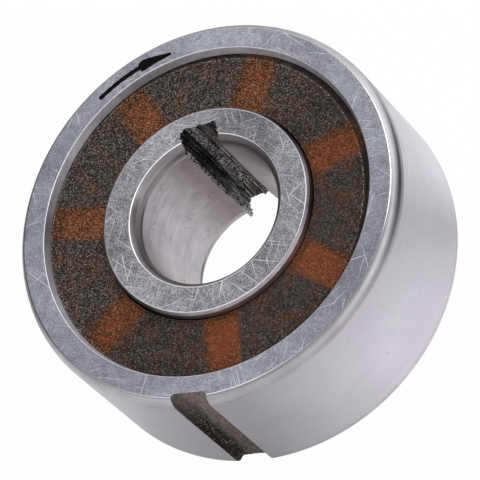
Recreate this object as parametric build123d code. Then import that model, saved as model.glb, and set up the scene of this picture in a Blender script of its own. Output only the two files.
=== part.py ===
from build123d import *

# Sprag clutch: a one-way ball bearing with keyways in its bore and on its outside.
#
# Two rings run on one row of balls. Between the balls stand sprags: cams that lean from
# one ring to the other. They wedge when the inner ring turns clockwise (looking at the
# front face) and tip free when it turns the other way. A crown cage carries balls, sprags
# and a small leaf spring for each sprag. A thin shield closes each side.
#
# Units are millimetres. The clutch lies on its rear face: the axis is +Z, the origin is
# the centre of the bore at the rear face, and the front face looks up. Angles are in
# degrees, counted anticlockwise from +X as seen from the front.

import os
from math import asin, atan2, cos, degrees, hypot, radians, sin, sqrt, tan

# --- Driving dimensions -------------------------------------------------------------

# Radial build-up and width
BORE_DIAMETER = 8.0
INNER_RING_WALL = 2.0           # bore to the inner track
TRACK_GAP = 3.0                 # inner track to outer track
OUTER_RING_WALL = 2.0           # outer track to the outside
WIDTH = 9.0

# Ring edges: each rounding runs smoothly into the cylinder and meets the face at a crisp edge
BORE_EDGE_RADIAL = 0.45
BORE_EDGE_AXIAL = 0.78
OUTER_EDGE_RADIAL = 0.35
OUTER_EDGE_AXIAL = 0.75
INNER_SHOULDER_CHAMFER = 0.25   # where the inner ring's face meets its track

# Keyways, both through the whole width
KEYWAY_WIDTH = 2.0
KEYWAY_CORNER_RADIUS = 0.15
BORE_KEYWAY_DEPTH = 1.0
BORE_KEYWAY_ANGLE = 98.8
OUTER_KEYWAY_DEPTH = 0.6
OUTER_KEYWAY_ANGLE = -90.0

# Balls and the grooves they run in
SET_COUNT = 7                   # one set is a pillar, a spring, a sprag, a web and a ball
FIRST_PILLAR_ANGLE = 177.8
GROOVE_DEPTH = 0.301
GROOVE_CONFORMITY = 0.52        # groove radius over ball diameter
BALL_CLEARANCE = 0.015          # ball to the bottom of either groove

# Shields, snapped under a lip in the mouth of the outer ring
SHIELD_THICKNESS = 0.30
SHIELD_RECESS = 0.52            # face of the rings to the shield's outer side
SHIELD_LEDGE = 0.36             # radial width of the ledge the shield lies on
SHIELD_LIP = 0.06
SHIELD_EDGE_CLEARANCE = 0.01
SHIELD_LIP_CLEARANCE = 0.01
SHIELD_RUNNING_GAP = 0.10       # shield to the inner ring
SHIELD_EDGE_CHAMFER = 0.04
MOUTH_TAPER = 0.15              # how much the mouth opens towards the face

# Cage
CAGE_TRACK_GAP = 0.12
CAGE_SHIELD_GAP = 0.10
CAGE_BASE_THICKNESS = 0.58
POCKET_CLEARANCE = 0.045        # pocket wall to ball
PILLAR_BALL_SIDE = 1.0          # pillar's middle plane to its side by the ball
PILLAR_SPRAG_SIDE = 0.88        # the same to its side by the sprag, at the pitch circle
PILLAR_TAPER = 7.0              # that side closes in on the middle plane, outwards
CAGE_EDGE_CHAMFER = 0.08
WEB_THICKNESS = 0.30            # thinnest wall between a sprag and a ball pocket
WEB_RISE = 0.9                  # web's top above the ball's centre
FINGER_RISE = 2.5               # the finger on the web, above the ball's centre
FINGER_THICKNESS = 0.45
FINGER_WIDTH = 0.8

# Sprags: an hourglass bar with a round cam at each end
SPRAG_CAM_RADIUS = 1.35
SPRAG_CAM_OFFSET = 0.11         # cam centres lie this far to either side of the radial line
SPRAG_LEAN = 10.0               # the bar leans clockwise of that line, outwards
SPRAG_LOBE_WIDTH = 1.05
SPRAG_WAIST_WIDTH = 0.75
SPRAG_WAIST_LENGTH = 1.8
SPRAG_CORNER_RADIUS = 0.12
SPRAG_TRACK_CLEARANCE = 0.012
SPRAG_PILLAR_CLEARANCE = 0.10
SPRAG_WEB_CLEARANCE = 0.13
SPRAG_BASE_CLEARANCE = 0.10
SPRAG_TOP_CLEARANCE = 0.45      # sprag's top below the pillars' tops

# Leaf springs, bowed from a seat in the pillar towards the sprag
SPRING_THICKNESS = 0.12
SPRING_LENGTH = 3.2
SPRING_WIDTH = 0.7
SPRING_OFFSET = 0.45            # spring's middle outside the pitch circle
SPRING_SEAT_DEPTH = 0.12
SPRING_SEAT_CLEARANCE = 0.05
SPRING_SPRAG_GAP = 0.085

# --- Sizes that follow --------------------------------------------------------------

BORE_RADIUS = BORE_DIAMETER / 2
INNER_TRACK_RADIUS = BORE_RADIUS + INNER_RING_WALL
OUTER_TRACK_RADIUS = INNER_TRACK_RADIUS + TRACK_GAP
OUTER_RADIUS = OUTER_TRACK_RADIUS + OUTER_RING_WALL
PITCH_RADIUS = (INNER_TRACK_RADIUS + OUTER_TRACK_RADIUS) / 2
PITCH_ANGLE = 360 / SET_COUNT
MID_HEIGHT = WIDTH / 2

BALL_DIAMETER = TRACK_GAP + 2 * GROOVE_DEPTH - 2 * BALL_CLEARANCE
POCKET_RADIUS = BALL_DIAMETER / 2 + POCKET_CLEARANCE
GROOVE_RADIUS = BALL_DIAMETER * GROOVE_CONFORMITY
INNER_GROOVE_CENTRE = INNER_TRACK_RADIUS - GROOVE_DEPTH + GROOVE_RADIUS
OUTER_GROOVE_CENTRE = OUTER_TRACK_RADIUS + GROOVE_DEPTH - GROOVE_RADIUS

SHIELD_SEAT_DEPTH = SHIELD_RECESS + SHIELD_THICKNESS
SHIELD_GROOVE_RADIUS = OUTER_TRACK_RADIUS + SHIELD_LEDGE
SHIELD_LIP_RADIUS = SHIELD_GROOVE_RADIUS - SHIELD_LIP
SHIELD_LIP_DEPTH = SHIELD_RECESS - SHIELD_LIP_CLEARANCE
MOUTH_RADIUS = SHIELD_LIP_RADIUS + MOUTH_TAPER

CAGE_BOTTOM = SHIELD_SEAT_DEPTH + CAGE_SHIELD_GAP
CAGE_FLOOR = CAGE_BOTTOM + CAGE_BASE_THICKNESS
CAGE_TOP = WIDTH - SHIELD_SEAT_DEPTH - CAGE_SHIELD_GAP
CAGE_INNER_RADIUS = INNER_TRACK_RADIUS + CAGE_TRACK_GAP
CAGE_OUTER_RADIUS = OUTER_TRACK_RADIUS - CAGE_TRACK_GAP
WEB_TOP = MID_HEIGHT + WEB_RISE
FINGER_TOP = MID_HEIGHT + FINGER_RISE

SPRAG_BOTTOM = CAGE_FLOOR + SPRAG_BASE_CLEARANCE
SPRAG_TOP = CAGE_TOP - SPRAG_TOP_CLEARANCE
SPRAG_LENGTH = SPRAG_TOP - SPRAG_BOTTOM
SPRAG_MIDDLE = (SPRAG_TOP + SPRAG_BOTTOM) / 2

BEYOND = 1.0                    # how far cutting shapes reach past what they cut


# --- Where the pieces of one set stand ----------------------------------------------

def turn_to_reach(radius, sideways, height):
    """Angle that brings the point (radius, sideways) to this height over the X axis."""
    return degrees(asin(height / hypot(radius, sideways)) - atan2(sideways, radius))


def pillar_side_at(radius):
    """Height of the pillar's sprag side over its middle plane, at this radius."""
    return PILLAR_SPRAG_SIDE - (radius - PITCH_RADIUS) * tan(radians(PILLAR_TAPER))


def sprag_turn():
    """Angle from a pillar to its sprag: the sprag's foot just clears the pillar's side."""
    lean = radians(SPRAG_LEAN)
    foot_edge = TRACK_GAP / 2 * tan(lean) - SPRAG_LOBE_WIDTH / 2 / cos(lean)
    height = pillar_side_at(INNER_TRACK_RADIUS) + SPRAG_PILLAR_CLEARANCE
    return turn_to_reach(INNER_TRACK_RADIUS, foot_edge, height)


def ball_turn():
    """Angle from a pillar to its ball: the web has its least thickness beside the pocket."""
    lean = radians(SPRAG_LEAN)
    reach = WEB_FACE + WEB_THICKNESS + POCKET_RADIUS
    return SPRAG_TURN + degrees(asin(reach / PITCH_RADIUS + sin(lean)) - lean)


WEB_FACE = SPRAG_LOBE_WIDTH / 2 + SPRAG_WEB_CLEARANCE   # sprag's middle plane to the web
SPRAG_TURN = sprag_turn()
BALL_TURN = ball_turn()


def pillar_frame(number):
    """Frame on the axis, with X through the middle of this pillar."""
    return Rot(0, 0, FIRST_PILLAR_ANGLE + (number - 1) * PITCH_ANGLE)


def sprag_frame(number):
    """Frame at the sprag's centre on the pitch circle, with X along the radial line."""
    return pillar_frame(number) * Rot(0, 0, SPRAG_TURN) * Pos(PITCH_RADIUS, 0, 0)


def ball_frame(number):
    """Frame at the ball's centre."""
    return pillar_frame(number) * Rot(0, 0, BALL_TURN) * Pos(PITCH_RADIUS, 0, MID_HEIGHT)


# --- Rings --------------------------------------------------------------------------

def revolved(outline):
    """Solid of revolution from an outline drawn as (radius, height)."""
    return revolve(Plane.XZ * make_face(outline), Axis.Z)


def mirrored_outline(edges):
    """The upper half of a closed ring outline, with its mirror image below."""
    upper = Curve() + edges
    lower = mirror(upper, Plane.XZ)
    return Pos(0, MID_HEIGHT) * (upper + lower)


def keyway_cutter(angle, floor_radius, mouth_radius):
    """Bar that cuts a keyway: its two corners at the floor are rounded."""
    depth = abs(mouth_radius - floor_radius)
    section = Pos((mouth_radius + floor_radius) / 2, 0) * Rectangle(depth, KEYWAY_WIDTH)
    floor_corners = [v for v in section.vertices() if abs(v.X - floor_radius) < depth / 2]
    section = fillet(floor_corners, KEYWAY_CORNER_RADIUS)
    return Rot(0, 0, angle) * Pos(0, 0, -BEYOND) * extrude(section, WIDTH + 2 * BEYOND)


def groove_cutter(centre_radius):
    """Ring of round section that cuts a ball groove."""
    section = Pos(centre_radius, MID_HEIGHT) * Circle(GROOVE_RADIUS)
    return revolve(Plane.XZ * section, Axis.Z)


def make_inner_ring():
    """Rounded bore edges, sprag track with a ball groove, keyway in the bore."""
    half = WIDTH / 2
    edge_foot = half - BORE_EDGE_AXIAL
    shoulder = INNER_TRACK_RADIUS - INNER_SHOULDER_CHAMFER
    outline = mirrored_outline([
        Line((BORE_RADIUS, 0), (BORE_RADIUS, edge_foot)),
        TangentArc((BORE_RADIUS, edge_foot), (BORE_RADIUS + BORE_EDGE_RADIAL, half), tangent=(0, 1)),
        Line((BORE_RADIUS + BORE_EDGE_RADIAL, half), (shoulder, half)),
        Line((shoulder, half), (INNER_TRACK_RADIUS, half - INNER_SHOULDER_CHAMFER)),
        Line((INNER_TRACK_RADIUS, half - INNER_SHOULDER_CHAMFER), (INNER_TRACK_RADIUS, 0)),
    ])
    ring = revolved(outline) - groove_cutter(INNER_GROOVE_CENTRE)
    return ring - keyway_cutter(BORE_KEYWAY_ANGLE, BORE_RADIUS + BORE_KEYWAY_DEPTH, 0)


def make_outer_ring():
    """Rounded outside edges, tapered mouths with shield seats, track, groove and keyway."""
    half = WIDTH / 2
    edge_foot = half - OUTER_EDGE_AXIAL
    ledge = half - SHIELD_SEAT_DEPTH
    lip = half - SHIELD_LIP_DEPTH
    outline = mirrored_outline([
        Line((OUTER_TRACK_RADIUS, 0), (OUTER_TRACK_RADIUS, ledge)),
        Line((OUTER_TRACK_RADIUS, ledge), (SHIELD_GROOVE_RADIUS, ledge)),
        Line((SHIELD_GROOVE_RADIUS, ledge), (SHIELD_GROOVE_RADIUS, lip)),
        Line((SHIELD_GROOVE_RADIUS, lip), (SHIELD_LIP_RADIUS, lip)),
        Line((SHIELD_LIP_RADIUS, lip), (MOUTH_RADIUS, half)),
        Line((MOUTH_RADIUS, half), (OUTER_RADIUS - OUTER_EDGE_RADIAL, half)),
        TangentArc((OUTER_RADIUS, edge_foot), (OUTER_RADIUS - OUTER_EDGE_RADIAL, half), tangent=(0, 1)),
        Line((OUTER_RADIUS, edge_foot), (OUTER_RADIUS, 0)),
    ])
    ring = revolved(outline) - groove_cutter(OUTER_GROOVE_CENTRE)
    keyway_floor = OUTER_RADIUS - OUTER_KEYWAY_DEPTH
    return ring - keyway_cutter(OUTER_KEYWAY_ANGLE, keyway_floor, OUTER_RADIUS + BEYOND)


def make_shield(bottom):
    """Flat disc that lies on a ledge of the outer ring and clears the inner ring."""
    outer = SHIELD_GROOVE_RADIUS - SHIELD_EDGE_CLEARANCE
    inner = INNER_TRACK_RADIUS + SHIELD_RUNNING_GAP
    disc = extrude(Circle(outer) - Circle(inner), SHIELD_THICKNESS)
    return Pos(0, 0, bottom) * chamfer(disc.edges().filter_by(GeomType.CIRCLE), SHIELD_EDGE_CHAMFER)


# --- Cage ---------------------------------------------------------------------------

def web_frame():
    """Flat frame in a pillar's frame: its X axis runs along the web's face by the sprag."""
    sprag_middle = Rot(0, 0, SPRAG_TURN) * Pos(PITCH_RADIUS, 0) * Rot(0, 0, -SPRAG_LEAN)
    return sprag_middle * Pos(0, WEB_FACE)


def gap_section():
    """The open space between the sprag side of one pillar and the ball side of the next."""
    near = CAGE_INNER_RADIUS / 2
    far = CAGE_OUTER_RADIUS * 2
    turn = radians(PITCH_ANGLE)

    def next_ball_side(radius):
        across = PILLAR_BALL_SIDE
        return (radius * cos(turn) + across * sin(turn), radius * sin(turn) - across * cos(turn))

    return make_face(Polyline(
        (near, pillar_side_at(near)),
        (far, pillar_side_at(far)),
        next_ball_side(far),
        next_ball_side(near),
        close=True,
    ))


def slot_section():
    """The part of that space on the sprag's side of the web: the sprag's slot."""
    reach = CAGE_OUTER_RADIUS * 2
    sprag_side = web_frame() * Pos(0, -reach / 2) * Rectangle(2 * reach, reach)
    return gap_section() & sprag_side


def make_finger():
    """Upright finger in the middle of the web, between the sprag and the ball."""
    height = FINGER_TOP - CAGE_FLOOR
    finger = Box(FINGER_WIDTH, FINGER_THICKNESS, height)
    finger = chamfer(finger.faces().sort_by(Axis.Z)[-1].edges(), CAGE_EDGE_CHAMFER)
    return web_frame() * Pos(0, FINGER_THICKNESS / 2, CAGE_FLOOR + height / 2) * finger


def spring_seat_cutter():
    """Shallow notch in the pillar's sprag side that takes the ends of the spring."""
    depth = SPRING_SEAT_DEPTH + BEYOND
    width = SPRING_WIDTH + 2 * SPRING_SEAT_CLEARANCE
    length = SPRING_LENGTH + 2 * SPRING_SEAT_CLEARANCE
    return SPRING_SEAT * Pos(depth / 2, 0, 0) * Box(depth, width, length)


def make_cage():
    """One moulded crown: a ring cut down to its base, pillars and pocket walls."""
    annulus = Circle(CAGE_OUTER_RADIUS) - Circle(CAGE_INNER_RADIUS)
    cage = Pos(0, 0, CAGE_BOTTOM) * extrude(annulus, CAGE_TOP - CAGE_BOTTOM)
    over_cradle = Pos(0, 0, WEB_TOP) * extrude(gap_section(), CAGE_TOP)
    slot = Pos(0, 0, CAGE_FLOOR) * extrude(slot_section(), CAGE_TOP)
    sets = range(1, SET_COUNT + 1)
    cage -= [pillar_frame(number) * over_cradle for number in sets]
    cage -= [pillar_frame(number) * slot for number in sets]
    pillar_tops = cage.faces().filter_by(Axis.Z).group_by(Axis.Z)[-1]
    cage = chamfer(pillar_tops.edges(), CAGE_EDGE_CHAMFER)
    cage += [pillar_frame(number) * make_finger() for number in sets]
    cage -= [pillar_frame(number) * spring_seat_cutter() for number in sets]
    cage -= [ball_frame(number) * Sphere(POCKET_RADIUS) for number in sets]
    return cage


# --- Sprags and their springs -------------------------------------------------------

def waist_radius():
    """Radius of the hollow in either side of a sprag."""
    depth = (SPRAG_LOBE_WIDTH - SPRAG_WAIST_WIDTH) / 2
    half = SPRAG_WAIST_LENGTH / 2
    return (half ** 2 + depth ** 2) / (2 * depth)


def cam_centre(track_radius, side):
    """Cam centre in the sprag's frame; side is +1 at the inner track, -1 at the outer."""
    from_axis = track_radius + side * (SPRAG_CAM_RADIUS + SPRAG_TRACK_CLEARANCE)
    offset = side * SPRAG_CAM_OFFSET
    return sqrt(from_axis ** 2 - offset ** 2) - PITCH_RADIUS, offset


def sprag_section():
    """Hourglass bar, leaning, with its ends cut to the two cams."""
    section = Sketch()
    for track_radius, side in ((INNER_TRACK_RADIUS, 1), (OUTER_TRACK_RADIUS, -1)):
        half_bar = Pos(-side * TRACK_GAP / 2, 0) * Rectangle(TRACK_GAP, SPRAG_LOBE_WIDTH)
        cam = Pos(*cam_centre(track_radius, side)) * Circle(SPRAG_CAM_RADIUS)
        section += (Rot(0, 0, -SPRAG_LEAN) * half_bar) & cam
    waist = SPRAG_WAIST_WIDTH / 2 + waist_radius()
    for side in (-1, 1):
        section -= Rot(0, 0, -SPRAG_LEAN) * Pos(0, side * waist) * Circle(waist_radius())
    by_reach = sorted(section.vertices(), key=lambda v: hypot(v.X, v.Y))
    return fillet(by_reach[-4:], SPRAG_CORNER_RADIUS)


def make_sprag(number):
    """Sprag, wedged between both tracks: the position in which it carries torque."""
    bar = extrude(sprag_section(), SPRAG_LENGTH)
    return sprag_frame(number) * Pos(0, 0, SPRAG_BOTTOM) * bar


def spring_seat():
    """Frame on the floor of the spring's seat: X points at the sprag, Z is up."""
    radius = PITCH_RADIUS + SPRING_OFFSET
    side = Pos(radius, pillar_side_at(radius), SPRAG_MIDDLE)
    return side * Rot(0, 0, 90 - PILLAR_TAPER) * Pos(-SPRING_SEAT_DEPTH, 0, 0)


def spring_reach():
    """How far the bow stands out of its seat, just short of the sprag's hollow side."""
    lean = radians(SPRAG_LEAN)
    along = SPRING_OFFSET - SPRING_WIDTH / 2
    half_waist = SPRAG_WAIST_WIDTH / 2 + waist_radius() - sqrt(waist_radius() ** 2 - along ** 2)
    flank = Pos(along, -along * tan(lean) - half_waist / cos(lean), SPRAG_MIDDLE)
    in_pillar_frame = Rot(0, 0, SPRAG_TURN) * Pos(PITCH_RADIUS, 0, 0) * flank
    in_seat_frame = SPRING_SEAT.inverse() * in_pillar_frame
    return in_seat_frame.position.X - SPRING_SPRAG_GAP


SPRING_SEAT = spring_seat()


def make_spring(number):
    """Leaf spring: a bowed strip whose ends lie in the pillar's seat."""
    half = SPRING_LENGTH / 2
    reach = spring_reach()
    back = ThreePointArc((0, -half), (reach - SPRING_THICKNESS, 0), (0, half))
    front = ThreePointArc((SPRING_THICKNESS, -half), (reach, 0), (SPRING_THICKNESS, half))
    strip = make_face(Curve() + [back, front, Line(back @ 0, front @ 0), Line(back @ 1, front @ 1)])
    bow = extrude(Plane.XZ * strip, SPRING_WIDTH / 2, both=True)
    return pillar_frame(number) * SPRING_SEAT * bow


def make_ball(number):
    """Ball in its pocket, centred between the bottoms of the two grooves."""
    return ball_frame(number) * Sphere(BALL_DIAMETER / 2)


# --- Assembly -----------------------------------------------------------------------

def make_pieces():
    """Every piece by its name."""
    pieces = {
        "outer_ring": make_outer_ring(),
        "inner_ring": make_inner_ring(),
        "front_shield": make_shield(WIDTH - SHIELD_SEAT_DEPTH),
        "rear_shield": make_shield(SHIELD_RECESS),
        "cage": make_cage(),
    }
    for number in range(1, SET_COUNT + 1):
        pieces[f"ball_{number}"] = make_ball(number)
        pieces[f"sprag_{number}"] = make_sprag(number)
        pieces[f"sprag_spring_{number}"] = make_spring(number)
    return pieces


def write_pieces():
    """One STEP file for each piece."""
    os.makedirs("parts", exist_ok=True)
    for name, piece in make_pieces().items():
        export_step(piece, f"parts/{name}.step")


write_pieces()
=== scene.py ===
# %% [markdown]
# # Dressing a sprag clutch
# A sprag clutch is a ball bearing that turns one way only. Seen from outside it is two
# ground steel rings, a keyway in each, and a dark, slightly see-through shield between them.
# The solids of this clutch are finished before this lesson starts, so the first step is to
# load them as a fixed frame. Everything made later goes where the frame says.

# %% Load the fixed frame
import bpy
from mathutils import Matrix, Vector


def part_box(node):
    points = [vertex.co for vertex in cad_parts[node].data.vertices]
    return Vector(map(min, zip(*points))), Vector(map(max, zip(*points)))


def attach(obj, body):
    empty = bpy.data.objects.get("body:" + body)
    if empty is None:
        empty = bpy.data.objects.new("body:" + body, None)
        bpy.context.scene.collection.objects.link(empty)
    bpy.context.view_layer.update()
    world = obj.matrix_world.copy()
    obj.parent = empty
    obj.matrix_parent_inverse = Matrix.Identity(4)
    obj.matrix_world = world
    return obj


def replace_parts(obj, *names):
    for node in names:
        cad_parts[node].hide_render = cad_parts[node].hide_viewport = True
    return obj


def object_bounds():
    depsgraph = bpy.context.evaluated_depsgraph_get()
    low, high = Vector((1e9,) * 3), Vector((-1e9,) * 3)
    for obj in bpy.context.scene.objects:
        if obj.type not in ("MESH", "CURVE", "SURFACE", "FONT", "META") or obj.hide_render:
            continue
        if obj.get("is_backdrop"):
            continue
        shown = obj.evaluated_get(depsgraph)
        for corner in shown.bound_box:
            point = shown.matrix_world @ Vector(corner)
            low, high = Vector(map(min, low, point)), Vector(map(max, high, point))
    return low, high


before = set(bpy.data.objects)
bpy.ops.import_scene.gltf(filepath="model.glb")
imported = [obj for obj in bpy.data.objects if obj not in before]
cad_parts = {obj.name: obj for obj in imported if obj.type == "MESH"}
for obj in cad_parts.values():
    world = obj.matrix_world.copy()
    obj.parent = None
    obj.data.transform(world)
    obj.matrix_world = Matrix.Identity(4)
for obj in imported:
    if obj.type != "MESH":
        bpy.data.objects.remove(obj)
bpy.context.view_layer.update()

# %% Modules and the unit
import math
import random

import bmesh
import bpy
from mathutils import Matrix, Vector, noise

MM = 0.001      # the frame is in metres, and this clutch is easier to describe in millimetres
print("a millimetre is", MM, "of a Blender unit")

# %% [markdown]
# ## Colours and nodes
# Colours are written as the hex codes a screen shows. A shader wants linear light, so one
# function turns the one into the other. Another adds a node, sets it and links it, so every
# material below is a short list of what feeds what. It goes through the inputs that are in
# use for the node's mode, which saves numbering those of a Mix or a Math node by hand.

# %% Colour and node helpers
def colour(code):
    """An sRGB hex code as the linear colour that a shader takes."""
    shown = [int(code[i:i + 2], 16) / 255 for i in (0, 2, 4)]
    linear = [c / 12.92 if c <= 0.04045 else ((c + 0.055) / 1.055) ** 2.4 for c in shown]
    return (*linear, 1.0)


def feed(node, *turn, **named):
    """Fills a node's inputs, the ones in use in turn and others by name. Outputs are linked."""
    pairs = list(zip([socket for socket in node.inputs if socket.enabled], turn))
    pairs += [(node.inputs[name.replace("_", " ")], value) for name, value in named.items()]
    for socket, value in pairs:
        if isinstance(value, bpy.types.Node):
            value = next(output for output in value.outputs if output.enabled)
        if isinstance(value, bpy.types.NodeSocket):
            node.id_data.links.new(value, socket)
        else:
            socket.default_value = value


MODES = {       # the setting that holds a node's mode
    "Math": "operation", "VectorMath": "operation", "Mix": "data_type", "Mapping": "vector_type",
}


def add(tree, kind, *turn, stops=None, **named):
    """Adds a node, such as TexNoise or Math MULTIPLY, and feeds it. Stops are a ramp's colours.

    Names with a capital are inputs, and the others are settings."""
    kind, _, mode = kind.partition(" ")
    node = tree.nodes.new("ShaderNode" + kind)
    if mode:
        setattr(node, MODES[kind], mode)
    for name in [name for name in named if name.islower()]:
        setattr(node, name, named.pop(name))
    for number, (place, code) in enumerate((stops or {}).items()):
        ramp = node.color_ramp.elements
        element = ramp[number] if number < 2 else ramp.new(place)
        element.position = place
        element.color = colour(code)
    feed(node, *turn, **named)
    return node


print("mid grey in linear light:", round(colour("808080")[0], 3))

# %% [markdown]
# ## The start of every finish
# Each finish begins the same way: a Principled shader and the piece's own coordinates. The
# coordinates stay with the piece when it turns, so a scratch turns with its ring. A Mapping
# node of type Texture divides by its scale, so the scale can be written as a real size.

# %% A new finish, and the patterns that many finishes share
def finish(name, **values):
    """A new material with one shader. Returns the material, its tree, the shader and its place."""
    material = bpy.data.materials.new(name)
    material.use_nodes = True
    tree = material.node_tree
    shader = tree.nodes["Principled BSDF"]
    feed(shader, **values)
    return material, tree, shader, add(tree, "TexCoord").outputs["Object"]


def grain(tree, place, size, heading=0.0, detail=2.0, shift=0.0):
    """Noise whose features have this size in millimetres along x, y and z, turned by heading."""
    laid = add(
        tree, "Mapping TEXTURE", place, (shift * MM,) * 3, (0, 0, heading), [s * MM for s in size])
    return add(tree, "TexNoise", laid, 1.0, detail)


def together(tree, how, first, *others):
    """Joins patterns: MULTIPLY holds where all of them do, and MAXIMUM where any one does."""
    for other in others:
        first = add(tree, "Math " + how, first, other)
    return first


def between(tree, value, low, high, soft):
    """1 between two sizes in millimetres and 0 outside, with soft ends."""
    rising = add(tree, "MapRange", value, low * MM, (low + soft) * MM)
    falling = add(tree, "MapRange", value, high * MM, (high - soft) * MM)
    return add(tree, "Math MULTIPLY", rising, falling)


def polar(tree, place):
    """Angle round the axis in radians, and distance from the axis in metres."""
    split = add(tree, "SeparateXYZ", place)
    angle = add(tree, "Math ARCTAN2", split.outputs["Y"], split.outputs["X"])
    flat = add(tree, "VectorMath MULTIPLY", place, (1, 1, 0))
    return angle, add(tree, "VectorMath LENGTH", flat)


def by_angle(tree, place, tones):
    """A tone for every angle round the axis, from a table of degrees and colours."""
    share = add(tree, "MapRange", polar(tree, place)[0], -math.pi, math.pi)
    stops = {(degrees + 180) / 360: tone for degrees, tone in tones.items()}
    return add(tree, "ValToRGB", share, stops=stops)


def toned_by_angle(tree, base, place, tones):
    """A colour multiplied by a tone that changes round the ring; in several finishes this tone is
    painted shade.
    """
    return add(tree, "Mix RGBA", 1.0, base, by_angle(tree, place, tones), blend_type="MULTIPLY")


def emboss(shader, height, depth):
    """Relief: where height is 1 the surface stands depth millimetres proud."""
    feed(shader, Normal=add(shader.id_data, "Bump", Height=height, Distance=depth * MM))


print("pattern helpers ready")

# %% [markdown]
# ## Lapped ring faces
# The faces of a bearing ring are lapped flat on a plate with loose grit. The grit rolls in
# all directions, so the face has a fine crosshatch of short scratches on a cool grey ground,
# and here and there a longer bright one from handling. Bearing steel is a metal, so metallic
# is 1 and the colour is what the metal sends back. Several sets of stretched noise, each
# turned another way, make the crosshatch. Real lapping scratches are a hundredth of a
# millimetre wide; these are drawn five times as wide, because finer ones would not show.
# A bearing leaves its works oiled. Each ring's face has a table of tones by angle, and the steel's
# colour is multiplied by it.

# %% Lapped face finish
FACE_HEADINGS = (0.25, 0.8, 1.35, 1.9, 2.5, 2.95)           # radians
STROKE, SCRATCH = (0.55, 0.05), (2.2, 0.045)                # length and width in millimetres
RUB_FROM, RUB_TO = math.radians(-96), math.radians(-70)     # where a tool rubbed outwards


def lapped_face(name, middle, bright, dark, weight, share, rubbed, roughness, film):
    """Cool grey lapped steel: fine crossing strokes and a few long straight scratches.

    weight is how strongly the strokes show. The higher share is, the rarer the scratches are,
    and rubbed is how strongly a rub by a tool shows on one side."""
    material, tree, shader, place = finish(name, Metallic=1.0)
    ridges, furrows, scratches = [], [], []
    for number, heading in enumerate(FACE_HEADINGS):
        size = (STROKE[0] + 0.1 * number, STROKE[1], 1)
        stroke = grain(tree, place, size, heading, detail=1, shift=7 * number)
        ridges.append(add(tree, "MapRange", stroke, 0.55, 0.70))
        furrows.append(add(tree, "MapRange", stroke, 0.45, 0.30))
        size = (SCRATCH[0] + 0.3 * number, SCRATCH[1], 1)
        scratch = grain(tree, place, size, heading, detail=0, shift=11 + 5 * number)
        scratches.append(add(tree, "MapRange", scratch, share, share + 0.05))
    light, dull, marks = (
        together(tree, "MAXIMUM", *each) for each in (ridges, furrows, scratches))
    angle, radius = polar(tree, place)
    around = add(tree, "CombineXYZ", add(tree, "Math MULTIPLY", angle, 5 * MM), radius)
    rubs = grain(tree, around, (0.055, 3, 1), detail=0, shift=2)
    rubs = add(tree, "MapRange", rubs, 0.70, 0.76, 0, rubbed)
    begins = add(tree, "MapRange", angle, RUB_FROM, RUB_FROM + 0.03)
    ends = add(tree, "MapRange", angle, RUB_TO, RUB_TO - 0.03)
    rubs = add(tree, "Math MULTIPLY", rubs, add(tree, "Math MULTIPLY", begins, ends))
    marks = add(tree, "Math MAXIMUM", marks, rubs)
    cloud = grain(tree, place, (1.6,) * 3, detail=3)
    cloud = add(tree, "MapRange", cloud, 0.35, 0.65, -0.12, 0.12)
    speckle = grain(tree, place, (0.06,) * 3, shift=9)
    speckle = add(tree, "MapRange", speckle, 0.3, 0.7, -0.22, 0.22)
    strokes = add(tree, "Math MULTIPLY", add(tree, "Math SUBTRACT", light, dull), weight)
    clouded = add(tree, "Math ADD", strokes, cloud)
    tone = add(tree, "Math ADD", clouded, add(tree, "Math ADD", speckle, 0.5))
    deep, high = add(tree, "MapRange", tone, 0.0, 0.5), add(tree, "MapRange", tone, 0.5, 1.0)
    base = add(tree, "Mix RGBA", deep, colour(dark), colour(middle))
    base = add(tree, "Mix RGBA", high, base, colour(bright))
    base = toned_by_angle(tree, base, place, film)
    base = add(tree, "Mix RGBA", add(tree, "Math MULTIPLY", marks, 0.85), base, colour("FAFAFC"))
    dulled = add(tree, "MapRange", strokes, -0.5, 0.5, roughness + 0.05, roughness - 0.05)
    feed(shader, Base_Color=base, Roughness=dulled)
    emboss(shader, add(tree, "Math ADD", strokes, marks), 0.003)
    return material


OUTER_FACE_TONES = {     # degrees, and the tone there
    -180: "E3E3E3", -150: "F3F3F3", -120: "D9D9D9", -90: "F3F3F3", -60: "F5F5F5", -30: "CECED0",
    0: "E8E8E8", 30: "F2F2F2", 60: "EDEDED", 90: "FFFFFF", 150: "DEDEDE", 180: "E3E3E3",
}
INNER_FACE_TONES = {
    -180: "E0E0E0", -150: "E5E5E5", -120: "F8F8F8", -90: "EBEBEB", -60: "E6E6E6", -30: "DEDEDE",
    0: "E5E5E5", 30: "E8E8E8", 60: "BEBEBE", 85: "CCCCCC", 120: "FFFFFF", 150: "E8E8E8",
    180: "E0E0E0",
}
outer_face_steel = lapped_face(
    "lapped_bearing_steel_outer", "A0A1AA", "C5C6CF", "78787F", weight=0.35, share=0.80,
    rubbed=0.25, roughness=0.40, film=OUTER_FACE_TONES)
inner_face_steel = lapped_face(
    "lapped_bearing_steel_inner", "9A989C", "D2D1D5", "605F64", weight=0.42, share=0.77,
    rubbed=1.0, roughness=0.38, film=INNER_FACE_TONES)
print("lapped faces:", outer_face_steel.name, inner_face_steel.name)

# %% [markdown]
# ## Ground cylinders
# The outside is centreless ground: a wheel turns against the turning ring and leaves fine
# lines round it, which the eye reads as a soft satin. The bore is ground with a small
# wheel, so its lines are a little coarser and its tone warmer. The noise is long in x and y
# and thin in z, so its streaks run round the ring without a seam. The lines are drawn a
# twentieth of a millimetre apart, some ten times too far, because finer ones would not show.

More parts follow.
